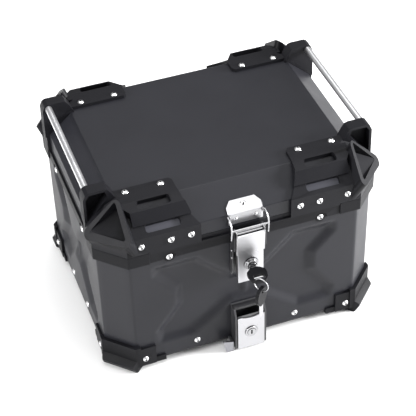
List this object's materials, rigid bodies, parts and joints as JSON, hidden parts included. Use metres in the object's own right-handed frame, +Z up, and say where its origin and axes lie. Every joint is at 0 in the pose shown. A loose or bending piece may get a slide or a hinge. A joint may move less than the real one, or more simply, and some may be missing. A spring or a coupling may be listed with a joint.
{
  "type": "motorcycle top case",
  "caption": "Aluminium motorcycle top case with hinged lid, black corner guards, round side bars, keyed draw latch with spare key, and a keyed quick-release at its foot.",
  "frame": {"origin": "centre of the bounding box's footprint, on the plane of the feet", "axes": "+Z up, latch towards -Y, hinges towards +Y, +X to the right when facing the latch"},
  "size_m": [0.4368, 0.4199, 0.3055],
  "materials": {
    "painted_shell": "graphite textured powder coat, satin",
    "black_plastic": "moulded black nylon, fine grain",
    "gasket_rubber": "soft black seal",
    "plain_steel": "zinc plated sheet",
    "bright_bar": "satin anodised round bar",
    "black_steel": "black coated steel",
    "dark_bracket": "dark grey coated steel",
    "bright_steel": "polished stainless sheet and wire",
    "lock_chrome": "plated lock parts",
    "screw_zinc": "bright button-head screws",
    "key_plastic": "moulded black key head"
  },
  "bodies": {
    "case": {"body_rivets": "bright_steel", "body_wall": "painted_shell", "bottom_pan": "painted_shell", "foot_guard_front_left": "black_plastic", "foot_guard_front_right": "black_plastic", "foot_guard_rear_left": "black_plastic", "foot_guard_rear_right": "black_plastic", "foot_screws": "screw_zinc", "hinge_leaf_body_left": "black_steel", "hinge_leaf_body_right": "black_steel", "hinge_pins": "bright_steel", "latch_base": "black_steel", "latch_pin": "bright_steel", "mount_plate": "plain_steel", "rack_hook_bearers": "plain_steel", "rack_hook_pin": "plain_steel", "release_bracket": "dark_bracket", "release_housing": "black_steel", "release_pin": "bright_steel", "rim_corner_front_left": "black_plastic", "rim_corner_front_right": "black_plastic", "rim_corner_rear_left": "black_plastic", "rim_corner_rear_right": "black_plastic", "rim_strip_front": "black_plastic", "rim_strip_left": "black_plastic", "rim_strip_rear": "black_plastic", "rim_strip_right": "black_plastic", "wall_screws": "screw_zinc"},
    "lid": {"hinge_leaf_lid_left": "black_steel", "hinge_leaf_lid_right": "black_steel", "keeper": "bright_steel", "lid_frame": "black_plastic", "lid_gasket": "gasket_rubber", "lid_guard_front_left": "black_plastic", "lid_guard_front_right": "black_plastic", "lid_guard_rear_left": "black_plastic", "lid_guard_rear_right": "black_plastic", "lid_rivets": "bright_steel", "lid_screws": "screw_zinc", "lid_shell": "painted_shell", "side_bar_left": "bright_bar", "side_bar_right": "bright_bar"},
    "bail": {"bail": "bright_steel"},
    "lever": {"latch_lever": "bright_steel", "lever_rods": "bright_steel", "lock_housing": "lock_chrome", "lock_nut": "black_steel"},
    "lock_core": {"lock_plug": "lock_chrome", "lock_cam": "bright_steel"},
    "key": {"key_head": "key_plastic", "key_blade": "bright_steel"},
    "ring": {"key_ring": "bright_steel"},
    "spare_key": {"spare_key_head": "key_plastic", "spare_key_blade": "bright_steel"},
    "release_handle": {"release_plate": "bright_steel", "release_lock_housing": "lock_chrome"},
    "release_core": {"release_plug": "lock_chrome", "release_cam": "bright_steel"},
    "hook": {"rack_hook": "plain_steel"}
  },
  "joints": [
    {"name": "lid_hinge", "type": "hinge", "parent": "case", "child": "lid", "pos_m": [0, 0.2002, 0.224], "axis": [-1, 0, 0], "range_deg": [0, 100]},
    {"name": "bail_swing", "type": "hinge", "parent": "lid", "child": "bail", "pos_m": [0, -0.1455, 0.2522], "axis": [-1, 0, 0], "range_deg": [0, 70]},
    {"name": "latch_lever", "type": "hinge", "parent": "case", "child": "lever", "pos_m": [0, -0.1523, 0.227], "axis": [-1, 0, 0], "range_deg": [0, 90]},
    {"name": "key_turn", "type": "hinge", "parent": "lever", "child": "lock_core", "pos_m": [0, -0.1613, 0.173], "axis": [0, 1, 0], "range_deg": [0, 90]},
    {"name": "key_pull", "type": "slide", "parent": "lock_core", "child": "key", "axis": [0, -1, 0], "range_m": [0, 0.03]},
    {"name": "ring_swing", "type": "hinge", "parent": "key", "child": "ring", "pos_m": [0, -0.2005, 0.173], "axis": [0.766, 0.6428, 0], "range_deg": [-10, 10]},
    {"name": "spare_key_swing", "type": "hinge", "parent": "ring", "child": "spare_key", "pos_m": [0, -0.2005, 0.155], "axis": [0.6428, -0.766, 0], "range_deg": [-20, 20]},
    {"name": "release_pull", "type": "hinge", "parent": "case", "child": "release_handle", "pos_m": [0, -0.1553, 0.0075], "axis": [1, 0, 0], "range_deg": [0, 60]},
    {"name": "release_key_turn", "type": "hinge", "parent": "release_handle", "child": "release_core", "pos_m": [0, -0.1613, 0.037], "axis": [0, 1, 0], "range_deg": [0, 90]},
    {"name": "hook_swing", "type": "hinge", "parent": "case", "child": "hook", "pos_m": [0, -0.1293, 0.0085], "axis": [1, 0, 0], "range_deg": [0, 15]}
  ],
  "couplings": [
    {"joint": "hook_swing", "follows": "release_pull", "ratio": 0.25}
  ]
}
